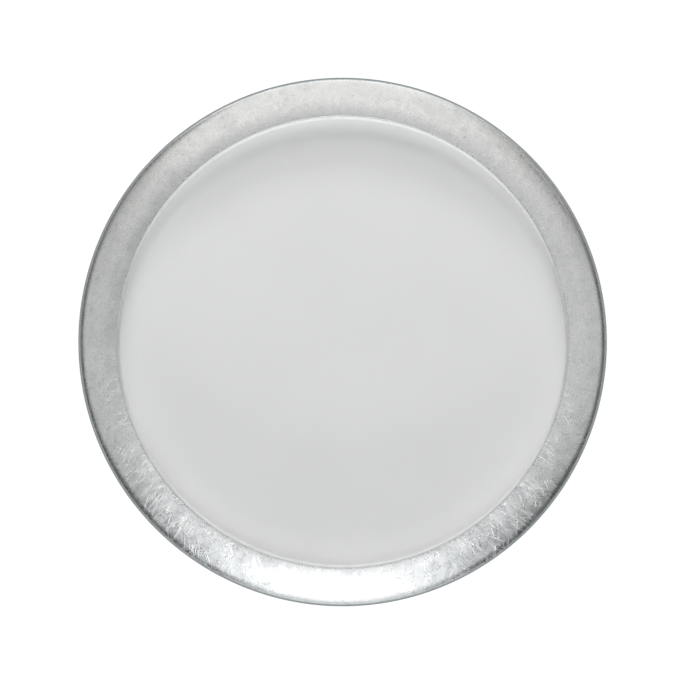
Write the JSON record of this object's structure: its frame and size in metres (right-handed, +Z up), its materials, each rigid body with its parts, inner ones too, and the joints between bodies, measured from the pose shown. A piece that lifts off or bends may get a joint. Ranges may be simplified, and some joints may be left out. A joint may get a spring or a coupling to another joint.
{
  "type": "charger plate",
  "caption": "Round charger plate with a matt white well and a crowned rim covered in lapped, crinkled silver-coloured leaf that wraps the turned-down lip, on a low foot ring.",
  "frame": {"origin": "on the plate's axis, in the plane that the foot ring stands on", "axes": "+Z up along the plate's axis, +Y towards the edge at the picture's top, +X to its right"},
  "size_m": [0.3298, 0.3298, 0.0195],
  "materials": {
    "pressed_core": "pressed wood fibre, bare only on the foot ring's bearing face",
    "front_lacquer": "matt white lacquer",
    "underside_lacquer": "matt white lacquer, sprayed, with a faint orange peel",
    "rim_leaf": "hand-laid silver-coloured leaf, satin, crinkled, mottled, sealed with clear varnish"
  },
  "bodies": {
    "root": {"core": "pressed_core", "top_lacquer": "front_lacquer", "back_lacquer": "underside_lacquer", "base_lacquer": "underside_lacquer", "leaf_sheet_1": "rim_leaf", "leaf_sheet_2": "rim_leaf", "leaf_sheet_3": "rim_leaf", "leaf_sheet_4": "rim_leaf", "leaf_sheet_5": "rim_leaf", "leaf_sheet_6": "rim_leaf", "leaf_sheet_7": "rim_leaf", "leaf_sheet_8": "rim_leaf", "leaf_sheet_9": "rim_leaf"}
  },
  "joints": []
}
